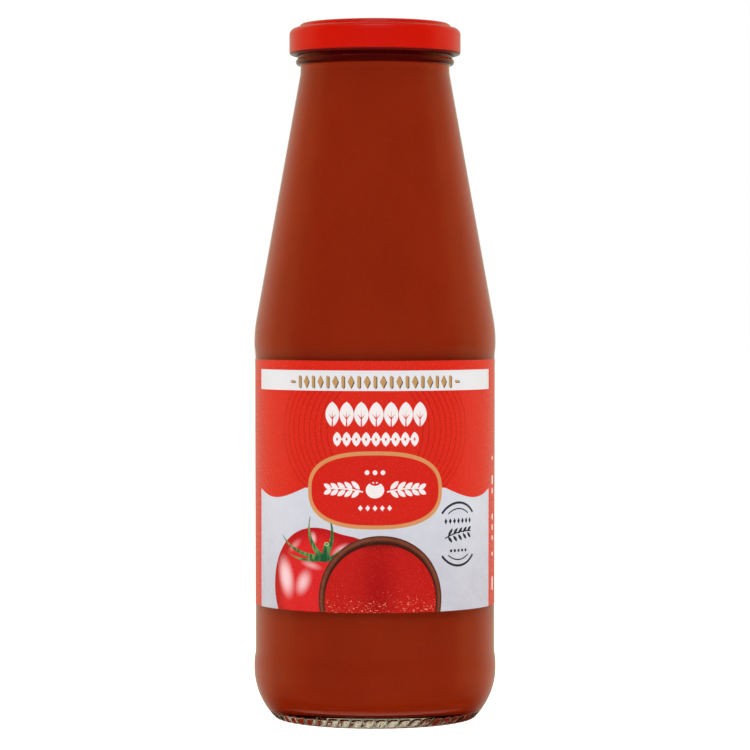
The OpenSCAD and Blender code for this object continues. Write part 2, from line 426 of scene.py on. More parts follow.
def glass_turns():
    """Even turns for the ridges, with a few close together at each mould seam."""
    turns = set(even_turns(RIDGES * SIDES_PER_RIDGE))
    for seam in SEAM_TURNS:
        for share in (-0.75, -0.5, -0.25, 0.25, 0.5, 0.75):
            turns.add(seam + math.degrees(share * SEAM_W / PANEL_R))
    return sorted(turns)


# ================================================================ materials
def srgb(red, green, blue):
    """A linear colour from one that is written as it shows on a screen, out of 255."""
    def linear(value):
        value /= 255
        return value / 12.92 if value <= 0.04045 else ((value + 0.055) / 1.055) ** 2.4
    return (linear(red), linear(green), linear(blue), 1)


SOCKETS = {
    "specular": "Specular IOR Level",
    "coat": "Coat Weight",
    "coat_roughness": "Coat Roughness",
    "transmission": "Transmission Weight",
    "glow": "Emission Color",
}


class Shader:
    """A material's node tree, with one Principled shader."""

    def __init__(self, name, roughness, ior=1.5, **sockets):
        self.material = bpy.data.materials.new(name)
        self.material.use_nodes = True
        self.nodes = self.material.node_tree.nodes
        self.links = self.material.node_tree.links
        self.base = self.nodes["Principled BSDF"]
        self.base.inputs["Roughness"].default_value = roughness
        self.base.inputs["IOR"].default_value = ior
        for socket, value in sockets.items():
            self.base.inputs[SOCKETS[socket]].default_value = value

    def put(self, value, socket):
        """Links an output to a socket, or sets the socket to a plain value."""
        if isinstance(value, bpy.types.NodeSocket):
            self.links.new(value, socket)
        else:
            socket.default_value = value

    def coordinates(self, size):
        """The object's own coordinates, scaled so that a pattern repeats each size mm."""
        coordinate = self.nodes.new("ShaderNodeTexCoord").outputs["Object"]
        mapping = self.nodes.new("ShaderNodeMapping")
        size = (size,) * 3 if isinstance(size, (int, float)) else size
        mapping.inputs["Scale"].default_value = [1 / (s * MM) for s in size]
        self.links.new(coordinate, mapping.inputs["Vector"])
        return mapping.outputs["Vector"]

    def noise(self, size, detail=3, roughness=0.5):
        """A soft pattern whose spots are about size mm across."""
        node = self.nodes.new("ShaderNodeTexNoise")
        node.inputs["Scale"].default_value = 1
        node.inputs["Detail"].default_value = detail
        node.inputs["Roughness"].default_value = roughness
        self.links.new(self.coordinates(size), node.inputs["Vector"])
        return node.outputs["Fac"]

    def maths(self, operation, a, b=0.0, c=0.0):
        node = self.nodes.new("ShaderNodeMath")
        node.operation = operation
        for socket, value in zip(node.inputs, (a, b, c)):
            self.put(value, socket)
        return node.outputs[0]

    def remap(self, value, low, high, to_low=0.0, to_high=1.0, smooth=True):
        """value from low to high, mapped to to_low up to to_high."""
        node = self.nodes.new("ShaderNodeMapRange")
        node.interpolation_type = "SMOOTHSTEP" if smooth else "LINEAR"
        for socket, number in zip(node.inputs, (value, low, high, to_low, to_high)):
            self.put(number, socket)
        return node.outputs["Result"]

    def mix(self, share, first, second):
        """first where share is 0 and second where it is 1."""
        node = self.nodes.new("ShaderNodeMix")
        node.data_type = "RGBA"
        self.put(share, node.inputs["Factor"])
        self.put(first, node.inputs[6])
        self.put(second, node.inputs[7])
        return node.outputs[2]

    def colour(self, value):
        self.put(value, self.base.inputs["Base Color"])

    def rough(self, value):
        self.put(value, self.base.inputs["Roughness"])

    def bump(self, height, depth):
        """Relief of depth mm, from a pattern between 0 and 1."""
        node = self.nodes.new("ShaderNodeBump")
        node.inputs["Strength"].default_value = 1
        node.inputs["Distance"].default_value = depth * MM
        self.links.new(height, node.inputs["Height"])
        self.links.new(node.outputs["Normal"], self.base.inputs["Normal"])

    def height(self):
        """z in mm."""
        split = self.nodes.new("ShaderNodeSeparateXYZ")
        self.links.new(self.coordinates(1), split.inputs["Vector"])
        return split.outputs["Z"]

    def blend(self, share, second):
        """Shows the shader second instead of the Principled one, by share."""
        both = self.nodes.new("ShaderNodeMixShader")
        self.links.new(share, both.inputs[0])
        self.links.new(self.base.outputs[0], both.inputs[1])
        self.links.new(second.outputs[0], both.inputs[2])
        self.links.new(both.outputs[0], self.nodes["Material Output"].inputs["Surface"])

    def print_place(self):
        """x along the paper from the front's middle, and z, both in mm."""
        node = self.nodes.new("ShaderNodeAttribute")
        node.attribute_name = PRINT_PLACE
        split = self.nodes.new("ShaderNodeSeparateXYZ")
        self.links.new(node.outputs["Vector"], split.inputs["Vector"])
        return split.outputs["X"], split.outputs["Y"]

    def spot(self, centre, radii, lean=0.0, edge=1.0):
        """1 in the middle of a soft oval on the print, easing to 0 at its edge."""
        x, z = self.print_place()
        dx = self.maths("SUBTRACT", x, centre[0])
        dz = self.maths("SUBTRACT", z, centre[1])
        along = self.maths("ADD", self.maths("MULTIPLY", dx, cosine(lean)),
                           self.maths("MULTIPLY", dz, sine(lean)))
        across = self.maths("SUBTRACT", self.maths("MULTIPLY", dz, cosine(lean)),
                            self.maths("MULTIPLY", dx, sine(lean)))
        u = self.maths("DIVIDE", along, radii[0])
        v = self.maths("DIVIDE", across, radii[1])
        far = self.maths("SQRT", self.maths(
            "ADD", self.maths("MULTIPLY", u, u), self.maths("MULTIPLY", v, v)))
        return self.remap(far, 1.0, 1.0 - edge)


PRINT_PLACE = "print_place"


def glass_material():
    """Clear glass, olive where it is thick, which lets lamps through to the filling."""
    shader = Shader("clear_glass", 0.0, GLASS_IOR, transmission=1.0)
    tint = shader.noise(30)
    shader.colour(shader.mix(tint, (0.97, 0.98, 0.965, 1), (0.985, 0.99, 0.98, 1)))
    shader.bump(shader.noise(14, 2), 0.02)
    path = shader.nodes.new("ShaderNodeLightPath")
    either = shader.maths("MAXIMUM", path.outputs["Is Shadow Ray"],
                          path.outputs["Is Diffuse Ray"])
    shader.blend(either, shader.nodes.new("ShaderNodeBsdfTransparent"))
    depth = shader.nodes.new("ShaderNodeVolumeAbsorption")
    depth.inputs["Color"].default_value = (0.62, 0.58, 0.28, 1)
    depth.inputs["Density"].default_value = 16
    shader.links.new(depth.outputs[0], shader.nodes["Material Output"].inputs["Volume"])
    return shader.material


def passata_material():
    """Opaque tomato puree, faintly mottled, with fine pulp, and a painted shade in its top few mm,
    under the lid.

    Where it wets the glass, it turns back light that meets it at a low angle, as puree
    bends light less than glass does. So the thick foot of the glass looks clear.
    """
    shader = Shader("passata", 0.6, 1.12, specular=0.0)
    clouds = shader.remap(shader.noise((16, 16, 30), 3), 0.35, 0.65)
    pulp = shader.remap(shader.noise(1.1, 4, 0.6), 0.4, 0.62)
    body = shader.mix(clouds, PASSATA_DARK, PASSATA_LIGHT)
    body = shader.mix(shader.maths("MULTIPLY", pulp, 0.25), body, PASSATA_PULP)
    # Painted shade: the filling's top, under the lid, is coloured dark maroon for the lid's shadow
    painted_lid_shadow = shader.remap(shader.height(), neck_z + 2.2, neck_z + 3.2)
    shader.colour(shader.mix(painted_lid_shadow, body, PASSATA_PAINTED_SHADE))
    shader.bump(pulp, 0.01)
    wet = shader.nodes.new("ShaderNodeBsdfGlossy")
    wet.inputs["Color"].default_value = (0.95, 0.95, 0.95, 1)
    wet.inputs["Roughness"].default_value = 0.03
    turned = shader.nodes.new("ShaderNodeFresnel")
    turned.inputs["IOR"].default_value = PUREE_IOR / GLASS_IOR
    shader.blend(turned.outputs[0], wet)
    return shader.material


def lid_material():
    """Glossy red lacquer on steel, with a faint orange peel, and a painted shade on the curl's
    underside.
    """
    shader = Shader("red_lacquer", 0.38, 1.5, specular=0.1, coat=0.7, coat_roughness=0.08)
    red = shader.mix(shader.noise(12, 2), LID_DARK, LID_LIGHT)
    # Painted shade: the lowest part of the curl is coloured dark red for the shade under it
    under = shader.remap(shader.height(), lid_low.z + CURL_D / 2, lid_low.z + CURL_D / 4)
    shader.colour(shader.mix(under, red, LID_PAINTED_SHADE))
    shader.rough(shader.remap(shader.noise(0.7, 3), 0.3, 0.7, 0.34, 0.44))
    shader.bump(shader.noise(0.9, 2), 0.012)
    return shader.material


def seal_material():
    """The soft cream seal under the lid."""
    shader = Shader("seal_compound", 0.6)
    shader.colour(shader.mix(shader.noise(1.5), srgb(228, 220, 200), srgb(240, 233, 215)))
    shader.bump(shader.noise(0.6), 0.02)
    return shader.material


GLASS_IOR = 1.52
PUREE_IOR = 1.36
PASSATA_DARK = (0.224, 0.0133, 0.0014, 1)
PASSATA_LIGHT = (0.241, 0.0153, 0.0018, 1)
PASSATA_PULP = (0.267, 0.0201, 0.0032, 1)
# Painted shade: the dark colour of the filling's top, under the lid
PASSATA_PAINTED_SHADE = (0.075, 0.001, 0.0005, 1)
LID_DARK = (0.52, 0.004, 0.0005, 1)
LID_LIGHT = (0.56, 0.007, 0.0010, 1)
# Painted shade: the dark colour of the curl's underside
LID_PAINTED_SHADE = (0.10, 0.001, 0.0005, 1)


# ---------------------------------------------------------------- inks
INK_IOR = 1.45
INK_ROUGHNESS = (0.20, 0.28)


def print_shader(name):
    return Shader("print_" + name, INK_ROUGHNESS[0], INK_IOR)


def ink(name, colour, vary=0.04):
    """Ink on coated paper, a little uneven in strength, over the paper's fine grain."""
    shader = print_shader(name)
    weaker = tuple(c * (1 + vary) for c in colour[:3]) + (1,)
    stronger = tuple(c * (1 - vary) for c in colour[:3]) + (1,)
    return finish_ink(shader, shader.mix(shader.noise((9, 9, 9), 4), stronger, weaker))


def finish_ink(shader, colour):
    """Gives an ink its colour and the paper's grain."""
    shader.colour(colour)
    grain = shader.noise(0.35, 2)
    shader.rough(shader.remap(grain, 0.3, 0.7, *INK_ROUGHNESS))
    shader.bump(grain, 0.0015)
    return shader.material


def panel_ink():
    """The pale grey field, like worn plaster, darker towards its foot."""
    shader = print_shader("pale_field")
    z = shader.print_place()[1]
    fade = shader.remap(z, PICTURE_LOW, SCALLOP_Z, 0.0, 1.0)
    plain = shader.mix(fade, srgb(189, 188, 198), srgb(202, 204, 214))
    spots = shader.remap(shader.noise(5, 6, 0.65), 0.35, 0.7)
    return finish_ink(shader, shader.mix(
        shader.maths("MULTIPLY", spots, 0.25), plain, srgb(218, 217, 222)))


def tomato_ink():
    """A ripe tomato, lit from the left, darker at its edges."""
    shader = print_shader("tomato")
    red = shader.mix(shader.noise(6, 3), srgb(206, 24, 26), srgb(218, 34, 34))
    body = shader.mix(shader.spot(TOMATO_C, (18, 19.5), edge=0.35), srgb(178, 10, 16), red)
    for centre, radii, lean, edge, share in TOMATO_LIGHTS:
        glow = shader.maths("MULTIPLY", shader.spot(centre, radii, lean, edge), share)
        body = shader.mix(glow, body, srgb(244, 205, 208))
    return finish_ink(shader, body)


def leaf_ink():
    """Green leaves with paler edges, darker at the stalk."""
    shader = print_shader("leaf")
    streaks = shader.remap(shader.noise((0.9, 0.9, 2.5), 3), 0.4, 0.6)
    green = shader.mix(streaks, srgb(38, 96, 52), srgb(112, 150, 84))
    dark = shader.spot(CALYX_C, (5, 5))
    return finish_ink(shader, shader.mix(dark, green, srgb(20, 84, 50)))


def bowl_ink():
    """A brown clay bowl seen from above, dark at both edges of its rim."""
    shader = print_shader("bowl")
    x, z = shader.print_place()
    dx = shader.maths("SUBTRACT", x, BOWL_C[0])
    dz = shader.maths("SUBTRACT", z, BOWL_C[1])
    far = shader.maths("SQRT", shader.maths(
        "ADD", shader.maths("MULTIPLY", dx, dx), shader.maths("MULTIPLY", dz, dz)))
    clay = shader.mix(shader.noise(2.5, 5, 0.6), srgb(96, 44, 26), srgb(142, 80, 56))
    inner = shader.remap(far, SAUCE_R, SAUCE_R + 1.2, 1.0, 0.0)
    outer = shader.remap(far, BOWL_R - 0.9, BOWL_R, 0.0, 0.8)
    clay = shader.mix(shader.maths("MAXIMUM", inner, outer), clay, srgb(64, 26, 18))
    return finish_ink(shader, clay)


def sauce_ink():
    """Red sauce with pale specks of light near the bowl's lower half."""
    shader = print_shader("sauce")
    z = shader.print_place()[1]
    red = shader.mix(shader.noise(4, 4), srgb(182, 14, 8), srgb(192, 22, 12))
    deep = shader.spot((BOWL_C[0] - 1, BOWL_C[1] + 2), (9, 26))
    red = shader.mix(deep, red, srgb(164, 0, 0))
    shade = shader.spot((BOWL_C[0] - 1, BOWL_C[1] + SAUCE_R), (SAUCE_R, 3.4))
    red = shader.mix(shader.maths("MULTIPLY", shade, 0.8), red, srgb(104, 6, 4))
    low = shader.remap(z, BOWL_C[1] + 8, PICTURE_LOW, 0.0, 1.0)
    bar = shader.maths("MULTIPLY_ADD", low, -0.13, 0.73)
    specks = shader.noise((0.9, 0.9, 0.42), 3, 0.7)
    specks = shader.remap(shader.maths("SUBTRACT", specks, bar), 0.0, 0.03)
    return finish_ink(shader, shader.mix(
        shader.maths("MULTIPLY", specks, 0.9), red, srgb(244, 176, 128)))


# ================================================================ the print
# Places on the print are (x, z): x runs along the paper from the front's middle, and z
# is the height above the ground.
ROUND = 2 * math.pi * LABEL_R
FRONT_EDGE = 47.2
PICTURE_LOW = label_low.z
BAND_Z = (107.4, 113.8)
SCALLOP_Z = 76.7
SCALLOP_X = 23.3
SCALLOP_LOW_X = 37.2
SCALLOP_DROP = 3.6
SCALLOP_END_DROP = 2.4
PLAQUE_C = (0, 76.1)
PLAQUE_SIZE = (22.3, 12.3)
PLAQUE_BORDER = 1.25
PLAQUE_POWER = 2.5
TOMATO_C = (-19.5, 45.5)
TOMATO_SIZE = (17.8, 18.6)
CALYX_C = (-16.6, 54.4)
TOMATO_LIGHTS = (
    ((-31.6, 48.0), (4.2, 8.2), 14, 0.85, 0.95),
    ((-24.2, 46.6), (3.4, 5.6), -28, 0.95, 0.8),
    ((-21.2, 52.2), (5.0, 1.6), -14, 1.0, 0.5),
    ((-20.4, 60.8), (1.6, 2.6), 10, 0.95, 0.7),
    ((-11.0, 57.2), (1.9, 4.2), -58, 0.95, 0.6),
    ((-27.6, 58.2), (4.0, 1.6), 38, 1.0, 0.35),
)
BOWL_C = (1.85, 41.5)
BOWL_R = 20.3
SAUCE_R = 18.2
STAMP_C = (29.1, 61.7)


def oval(centre, size, count=48, power=2.0):
    """A closed oval. A power above 2 makes it squarer."""
    shape = []
    for i in range(count):
        a = 2 * math.pi * i / count
        c, s = math.cos(a), math.sin(a)
        shape.append((
            centre[0] + size[0] * math.copysign(abs(c) ** (2 / power), c),
            centre[1] + size[1] * math.copysign(abs(s) ** (2 / power), s),
        ))
    return shape


def block(x0, z0, x1, z1):
    return [(x0, z0), (x1, z0), (x1, z1), (x0, z1)]


def bar(centre, size, lean=0.0):
    """A bar with round ends, leaning to the right by an angle from the upright."""
    width, height = size
    r = min(width, height) / 2
    ends = []
    for sx, sz, start in ((1, 1, 0), (-1, 1, 90), (-1, -1, 180), (1, -1, 270)):
        for i in range(4):
            a = start + 30 * i
            ends.append((sx * (width / 2 - r) + r * cosine(a),
                         sz * (height / 2 - r) + r * sine(a)))
    return [(centre[0] + x * cosine(lean) + z * sine(lean),
             centre[1] - x * sine(lean) + z * cosine(lean)) for x, z in ends]


def lozenge(centre, size):
    (x, z), (w, h) = centre, size
    return [(x - w / 2, z), (x, z - h / 2), (x + w / 2, z), (x, z + h / 2)]


def stroke(line, width, taper=False):
    """A line of some width. A tapered one narrows to its far end."""
    left, right = [], []
    for i, (x, z) in enumerate(line):
        ax, az = line[max(i - 1, 0)]
        bx, bz = line[min(i + 1, len(line) - 1)]
        length = math.hypot(bx - ax, bz - az)
        share = 1 - 0.9 * i / (len(line) - 1) if taper else 1
        nx, nz = -(bz - az) / length * width / 2 * share, (bx - ax) / length * width / 2 * share
        left.append((x + nx, z + nz))
        right.append((x - nx, z - nz))
    return left + right[::-1]


def curve(p, bend, q, count=12):
    """A line from p to q that is drawn towards bend."""
    line = []
    for i in range(count + 1):
        t = i / count
        line.append(tuple((1 - t) ** 2 * a + 2 * t * (1 - t) * b + t * t * c
                          for a, b, c in zip(p, bend, q)))
    return line


def leaf(p, q, width, count=8):
    """A pointed leaf from its stalk p to its tip q."""
    dx, dz = q[0] - p[0], q[1] - p[1]
    length = math.hypot(dx, dz)
    nx, nz = -dz / length, dx / length
    near, far = [], []
    for i in range(count + 1):
        t = i / count
        half = width / 2 * math.sin(math.pi * t) ** 0.7 if 0 < t < 1 else 0
        x, z = p[0] + dx * t, p[1] + dz * t
        near.append((x + nx * half, z + nz * half))
        far.append((x - nx * half, z - nz * half))
    return near + far[-2:0:-1]


def ring_line(centre, radius, start, end, count=20):
    """Part of a circle, or of an oval where radius is a pair, between two angles."""
    rx, rz = radius if isinstance(radius, tuple) else (radius, radius)
    turns = [start + (end - start) * i / count for i in range(count + 1)]
    return [(centre[0] + rx * cosine(a), centre[1] + rz * sine(a)) for a in turns]


def scallop_z(x):
    """Height of the pale field's upper edge, which hangs in two shallow curves."""
    x = abs(x)
    if x < SCALLOP_X:
        return SCALLOP_Z
    if x < SCALLOP_LOW_X:
        t = (x - SCALLOP_X) / (SCALLOP_LOW_X - SCALLOP_X)
        return SCALLOP_Z - SCALLOP_DROP * math.sin(math.pi / 2 * t)
    t = (x - SCALLOP_LOW_X) / (FRONT_EDGE - SCALLOP_LOW_X)
    return SCALLOP_Z - SCALLOP_DROP + SCALLOP_END_DROP * (1 - math.cos(math.pi / 2 * t))


def contour_fields():
    """Faint lines of an engraved tomato behind the title."""
    fields = []
    for i in range(9):
        size = (15.5 + 2.1 * i, 17 + 1.1 * i)
        for side in (1, -1):
            low, high = -62 + 2 * i, 52 - i
            line = ring_line((0, 95), (size[0] * side, size[1]), low, high, 26)
            fields.append(("contour", stroke(line, 0.38)))
    return fields


def band_fields():
    """The white band, with a row of small ornaments where lettering would be."""
    fields = [("white", block(-FRONT_EDGE, BAND_Z[0], FRONT_EDGE, BAND_Z[1]))]
    middle = 110.25
    pitch = 2.55
    shadow = (0.28, -0.2)
    for layer, shift in (("brown", shadow), ("tan", (0, 0))):
        for i in range(-10, 11):
            centre = (i * pitch + shift[0], middle + shift[1])
            shape = lozenge(centre, (2.0, 4.1)) if i % 2 else bar(centre, (0.95, 3.9))
            fields.append((layer, shape))
        for side in (1, -1):
            fields.append((layer, bar((side * 28.4 + shift[0], middle + shift[1]), (2, 0.7))))
    return fields


def title_fields():
    """A row of seven upright leaves over a row of diamonds and dots."""
    fields = []
    for i in range(-3, 4):
        x = 0.4 + i * 4.7
        fields.append(("title", leaf((x, 96.0), (x, 104.0), 4.6, 12)))
        fields.append(("red", stroke([(x, 96.0), (x, 101.0)], 0.5, True)))
        for side in (1, -1):
            vein = [(x, 98.6), (x + side * 1.3, 100.2)]
            fields.append(("red", stroke(vein, 0.4, True)))
    for i in range(-4, 5):
        x = 0.3 + i * 3.1
        fields.append(("title", leaf((x, 89.9), (x, 94.5), 2.7)))
        fields.append(("red", lozenge((x, 92.2), (0.7, 1.3))))
        if i < 4:
            fields.append(("title", oval((x + 1.55, 92.2), (0.32, 0.32), 10)))
    return fields


def plaque_fields():
    """An oval plaque with a tan border, and a sprig either side of a round fruit."""
    inner = tuple(s - PLAQUE_BORDER for s in PLAQUE_SIZE)
    fields = [
        ("border", oval(PLAQUE_C, PLAQUE_SIZE, 96, PLAQUE_POWER)),
        ("plaque", oval(PLAQUE_C, inner, 96, PLAQUE_POWER)),
        ("title", oval((0, 76.2), (2.9, 2.6), 32)),
        ("plaque", leaf((0, 77.6), (-1.9, 78.7), 0.7)),
        ("plaque", leaf((0, 77.6), (1.9, 78.7), 0.7)),
        ("plaque", leaf((0, 77.4), (0, 79.2), 0.7)),
    ]
    for side in (1, -1):
        stem = curve((side * 3.8, 75.6), (side * 9, 77), (side * 15.4, 76.6))
        fields.append(("title", stroke(stem, 0.45)))
        for i in range(5):
            x = side * (4.8 + 2.3 * i)
            tip = x + side * 2.6
            fields.append(("title", leaf((x, 76.4), (tip, 79.0 - 0.25 * i), 1.5)))
            fields.append(("title", leaf((x, 76.2), (tip, 73.8 + 0.25 * i), 1.5)))
    for i in range(-2, 3):
        fields.append(("title", lozenge((i * 2.3, 70.5), (1.5, 1.9))))
    for i in range(-1, 2):
        fields.append(("title", oval((i * 2.5, 81.7), (0.75, 0.75), 16)))
    return fields


def pale_field():
    """The picture's pale ground, up to its scalloped edge."""
    steps = 60
    edge = [FRONT_EDGE - 2 * FRONT_EDGE * i / steps for i in range(steps + 1)]
    low = PICTURE_LOW - 1
    return [(-FRONT_EDGE, low), (FRONT_EDGE, low)] + [(x, scallop_z(x)) for x in edge]


def tomato_shape():
    """A broad tomato, with a lobe to the right of its crown."""
    shape = []
    count = 72
    for i in range(count):
        a = 360 * i / count
        r = 1 + 0.18 * math.exp(-((a - 40) / 15) ** 2)
        shape.append((TOMATO_C[0] + TOMATO_SIZE[0] * r * cosine(a),
                      TOMATO_C[1] + TOMATO_SIZE[1] * r * sine(a)))
    return shape


def picture_fields():
    """The tomato with its leaves, and the bowl of sauce in front of it."""
    x, z = CALYX_C
    fields = [("tomato", tomato_shape())]
    for tip, bend, width in (
        ((-21.5, 67.6), (-23.5, 59.5), 2.1),
        ((-15.0, 68.0), (-11.8, 61.0), 2.1),
        ((-33.2, 61.4), (-29.0, 55.6), 1.7),
        ((-30.6, 55.9), (-25.0, 52.6), 1.4),
        ((-11.4, 57.4), (-13.6, 54.0), 1.5),
    ):
        fields.append(("leaf", stroke(curve(CALYX_C, bend, tip, 14), width, True)))
    fields.append(("leaf", oval((x, z + 0.2), (3.0, 1.3), 24)))
    fields.append(("leaf", stroke(curve((x, z), (x + 0.4, z + 2), (x + 0.9, z + 4.6), 6), 1.7)))
    fields.append(("stalk", oval((x + 0.95, z + 4.6), (0.85, 0.6), 16)))
    fields.append(("brown", oval((x + 0.95, z + 4.65), (0.42, 0.28), 12)))
    fields.append(("bowl", oval(BOWL_C, (BOWL_R, BOWL_R), 110)))
    fields.append(("sauce", oval((BOWL_C[0], BOWL_C[1] - 0.5), (SAUCE_R, SAUCE_R - 0.2), 100)))
    return fields


def stamp_fields():
    """A plain round stamp: arcs above and below a small sprig and two rows of beads."""
    x, z = STAMP_C
    fields = []
    for up in (1, -1):
        centre = (x, z + up * 1.4)
        middle = 90 * up
        fields.append(("black", stroke(ring_line(centre, 8.6, middle - 52, middle + 52), 0.75)))
        fields.append(("black", stroke(ring_line(centre, 6.7, middle - 40, middle + 40), 0.4)))
    for i in range(-3, 4):
        fields.append(("black", lozenge((x + i * 1.75, z + 4.2), (1.2, 2.0))))
    stem = curve((x - 5.6, z - 1.2), (x, z + 1.4), (x + 5.8, z + 0.8))
    fields.append(("black", stroke(stem, 0.4)))
    for i in range(5):
        at = x - 4.4 + 2.1 * i
        fields.append(("black", leaf((at, z - 0.5 + 0.3 * i), (at + 1.9, z + 1.9 + 0.1 * i), 1.0)))
        fields.append(("black", leaf((at, z - 0.7 + 0.3 * i), (at + 1.7, z - 2.6 + 0.3 * i), 1.0)))
    for i in range(-2, 3):
        fields.append(("black", oval((x + i * 1.6, z - 5.2), (0.5, 0.5), 12)))
    return fields


def side_fields():
    """What the label carries past its picture: plain marks, rules and a block of bars."""
    fields = []
    for z, height in ((85, 1.2), (78, 3.2), (74.4, 2), (66, 2), (62.6, 2), (59.2, 1.6),
                      (54, 1.2), (44.5, 4.6)):
        fields.append(("title", bar((51.8, z), (1.7, height))))
    for side in (1, -1):
        x0, x1 = sorted((side * 64, side * 108))
        fields.append(("white", block(x0, 44, x1, 111)))
        for i in range(13):
            z = 106.5 - 3.1 * i
            reach = 2.5 if i % 4 else 9
            fields.append(("rule", block(x0 + 3, z, x1 - reach, z + 0.55)))
        fields.append(("rule", block(x0 + 3, 62.6, x1 - 3, 63)))
    widths = random.Random(7)
    x = 70.0
    while x < 101:
        wide = widths.choice((0.4, 0.7, 1.0))
        fields.append(("brown", block(x, 48, x + wide, 60)))
        x += wide + widths.choice((0.5, 0.8, 1.1))
    fields.append(("border", oval((-86, 54), (6, 5.4), 40)))
    fields.append(("white", oval((-86, 54), (4.9, 4.3), 40)))
    fields.append(("leaf", leaf((-88.5, 51.8), (-83.6, 56.4), 3)))
    return fields


def inks():
    """Each ink by its name, in the order of the label's materials."""
    return {
        "red": ink("red", srgb(210, 35, 18), 0.03),
        "contour": ink("contour", srgb(186, 22, 10), 0.03),
        "white": ink("white", srgb(220, 219, 222), 0.03),
        "tan": ink("tan", srgb(186, 144, 92)),
        "brown": ink("brown", srgb(66, 46, 36)),
        "title": ink("title", srgb(234, 226, 226), 0.03),
        "border": ink("border", srgb(208, 142, 88)),
        "plaque": ink("plaque", srgb(206, 28, 14), 0.03),
        "pale": panel_ink(),
        "tomato": tomato_ink(),
        "leaf": leaf_ink(),
        "stalk": ink("stalk", srgb(170, 196, 130)),
        "bowl": bowl_ink(),
        "sauce": sauce_ink(),
        "black": ink("black", srgb(42, 44, 48)),
        "rule": ink("rule", srgb(150, 148, 150)),
        "back": ink("paper_back", srgb(226, 222, 214), 0.05),
    }


def all_fields():
    """The whole print. Where fields overlap, the later one shows."""
    end = ROUND / 2 + LABEL_LAP / 2
    return (
        [("red", block(-end, label_low.z, end, label_high.z))]
        + contour_fields()
        + band_fields()
        + title_fields()
        + [("pale", pale_field())]
        + picture_fields()
        + plaque_fields()
        + stamp_fields()
        + side_fields()
    )


def print_triangles():
    """The print as flat points and triangles, each with its ink's name."""
    fields = all_fields()
    points, loops, edges = [], [], []
    for _, shape in fields:
        area = sum(a[0] * b[1] - b[0] * a[1] for a, b in zip(shape, shape[1:] + shape[:1]))
        first = len(points)
        points += [Vector(p) for p in (shape if area > 0 else shape[::-1])]
        loops.append(list(range(first, len(points))))
    end = ROUND / 2 + LABEL_LAP / 2
    columns = round(2 * end / (LABEL_R * math.radians(LABEL_COLUMN)))
    for i in range(1, columns):
        x = -end + 2 * end * i / columns
        edges.append((len(points), len(points) + 1))
        points += [Vector((x, label_low.z)), Vector((x, label_high.z))]
    flat, _, triangles, _, _, sources = delaunay_2d_cdt(points, edges, loops, 1, 1e-5)
    kept = [(t, fields[max(s)][0]) for t, s in zip(triangles, sources) if 0 in s]
    return [tuple(p) for p in flat], kept


def label_mesh(name):
    """The label as one closed sheet of paper round the glass, with its ends overlapping."""
    flat, triangles = print_triangles()
    used = sorted({i for t, _ in triangles for i in t})
    new = {old: i for i, old in enumerate(used)}
    place = np.array([flat[i] for i in used])
    count = len(used)
    over = ROUND / 2 - LABEL_LAP / 2
    lift = LABEL_T * np.clip((place[:, 0] - over + LABEL_RAMP) / LABEL_RAMP, 0, 1)
    swing = place[:, 0] / LABEL_R
    out = np.stack([np.sin(swing), -np.cos(swing), 0 * swing], -1)
    under = out * (LABEL_R + lift)[:, None] + [[0, 0, z] for z in place[:, 1]]
    points = np.concatenate([under + out * LABEL_T, under]) * MM
    palette = inks()
    order = list(palette)
    faces, slots, edges = [], [], {}
    for t, field in triangles:
        t = [new[i] for i in t]
        faces.append(t)
        slots.append(order.index(field))
        for a, b in zip(t, t[1:] + t[:1]):
            edges[a, b] = True
    outer = len(faces)
    faces += [[i + count for i in reversed(t)] for t in faces]
    inner = len(faces)
    rim = [(a, b) for a, b in edges if (b, a) not in edges]
    faces += [[b, a, a + count, b + count] for a, b in rim]
    slots += [order.index("back")] * (len(faces) - outer)
    mesh = bpy.data.meshes.new(name)
    mesh.from_pydata(points.tolist(), [], faces)
    mesh.polygons.foreach_set("material_index", slots)
    mesh.polygons.foreach_set("use_smooth", [True] * inner + [False] * (len(faces) - inner))
    add_places(mesh, np.concatenate([place, place]))
    add_bake_map(mesh, place, outer, inner)
    corners = np.zeros(len(mesh.loops), int)
    mesh.loops.foreach_get("vertex_index", corners)
    normals = np.concatenate([out, -out])[corners]
    for face in mesh.polygons[inner:]:
        normals[face.loop_start:face.loop_start + face.loop_total] = face.normal
    mesh.normals_split_custom_set(normals.tolist())
    return add_object(name, mesh, palette.values())


def add_places(mesh, places):
    """Keeps each point's place on the flat print, which the inks read."""
    flat = np.concatenate([places, np.zeros((len(places), 1))], 1).astype(np.float32)
    mesh.attributes.new(PRINT_PLACE, "FLOAT_VECTOR", "POINT").data.foreach_set(
        "vector", flat.ravel())


def add_bake_map(mesh, place, outer, inner):
    """A UV map of the flat print, with most of its width for the front."""
    end = ROUND / 2 + LABEL_LAP / 2
    front = FRONT_EDGE + 4
    u = np.interp(place[:, 0], [-end, -front, front, end], [0.004, 0.14, 0.86, 0.996])
    v = (place[:, 1] - label_low.z) / (label_high.z - label_low.z)
    low, high, strip = 0.08, 0.996, 0.06
    layer = mesh.uv_layers.new(name="OFBake")
    count = len(place)
    for index, face in enumerate(mesh.polygons):
        for corner in face.loop_indices:
            i = mesh.loops[corner].vertex_index % count
            if index < outer:
                height = low + (high - low) * v[i]
            elif index < inner:
                height = 0.005 + strip * v[i]
            else:
                below = mesh.loops[corner].vertex_index >= count
                height = strip + (0.008 if below else 0.012)
            layer.uv[corner].vector = (u[i], height)


# ================================================================ lights, floor and camera
CAMERA_FAR = 1107
CAMERA_HEIGHT = 136
CAMERA_DIP = 1.264
CAMERA_LENS = 163.2

# Light that the floor gives of its own, as a light table does
FLOOR_GLOW = 0.46

